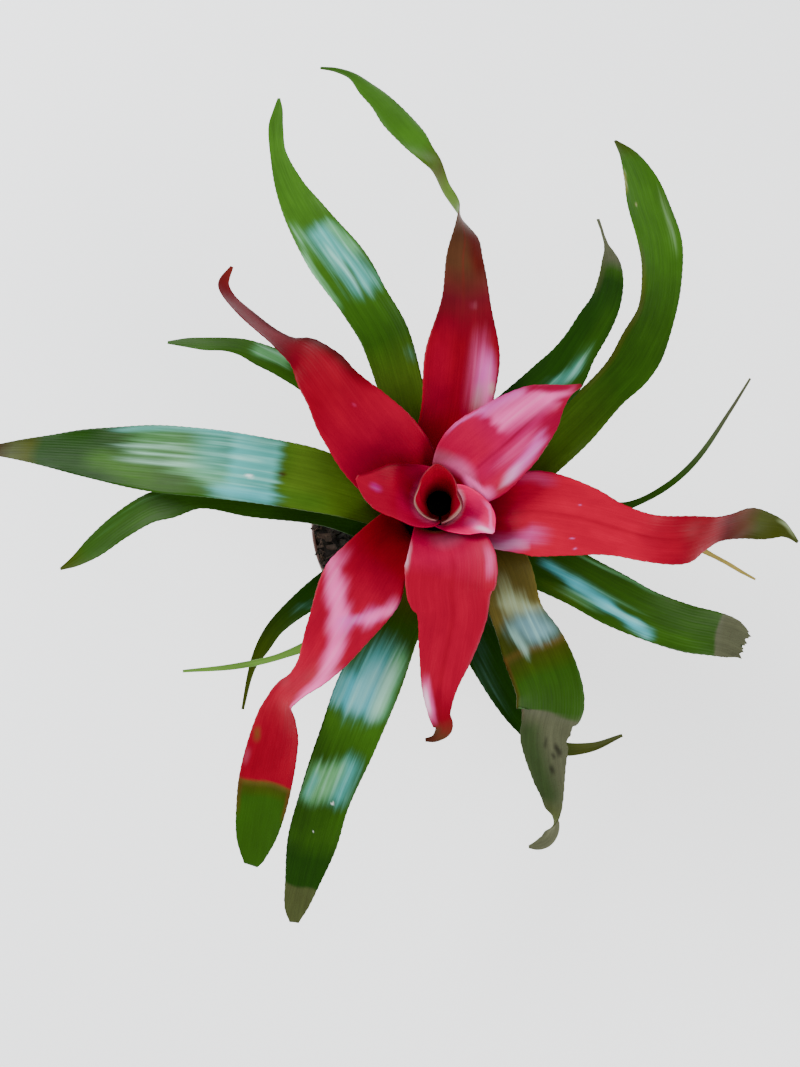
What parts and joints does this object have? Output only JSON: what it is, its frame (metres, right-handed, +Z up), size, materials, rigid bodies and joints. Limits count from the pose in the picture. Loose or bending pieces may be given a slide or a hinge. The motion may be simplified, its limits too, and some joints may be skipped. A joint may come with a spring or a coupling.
{
  "type": "potted blushing bromeliad",
  "caption": "Potted bromeliad: a rosette of strap leaves, scarlet round a rolled cup and green outside, on a short stem in a drained nursery pot that stands level.",
  "frame": {"origin": "centre of the pot's flat underside", "axes": "+Z up along the pot's axis; +Y towards the top of the picture, +X to its right"},
  "size_m": [0.4696, 0.5069, 0.2295],
  "materials": {
    "pot_plastic": "thin reddish-brown nursery pot, satin",
    "potting_mix": "near-black fibrous bark and coir mix, damp",
    "stem": "short fibrous stem with leaf scars",
    "cup_leaf": "waxy magenta-crimson leaf",
    "red_leaf": "waxy scarlet leaf, glossy, with fine ribs along it",
    "green_leaf": "waxy green leaf, glossy, with fine ribs along it"
  },
  "bodies": {
    "root": {"pot": "pot_plastic", "potting_mix": "potting_mix", "stem": "stem", "cup_leaf_inner": "cup_leaf", "cup_leaf_left": "cup_leaf", "cup_leaf_right": "cup_leaf", "red_leaf_upper_right": "red_leaf", "red_leaf_bottom": "red_leaf", "red_leaf_upper_left": "red_leaf", "red_leaf_right": "red_leaf", "red_leaf_lower_left": "red_leaf", "red_leaf_top": "red_leaf", "green_leaf_lower_right": "green_leaf", "green_leaf_left": "green_leaf", "green_leaf_upper_right": "green_leaf", "green_leaf_bottom": "green_leaf", "green_leaf_upper_left": "green_leaf", "green_leaf_low_right": "green_leaf", "green_leaf_thin_left": "green_leaf", "green_leaf_far_right": "green_leaf", "green_leaf_low_left": "green_leaf", "green_leaf_under_bottom": "green_leaf", "green_leaf_tip_left": "green_leaf", "green_leaf_thin_right": "green_leaf", "green_leaf_small_left": "green_leaf", "green_leaf_dry_right": "green_leaf"}
  },
  "joints": []
}
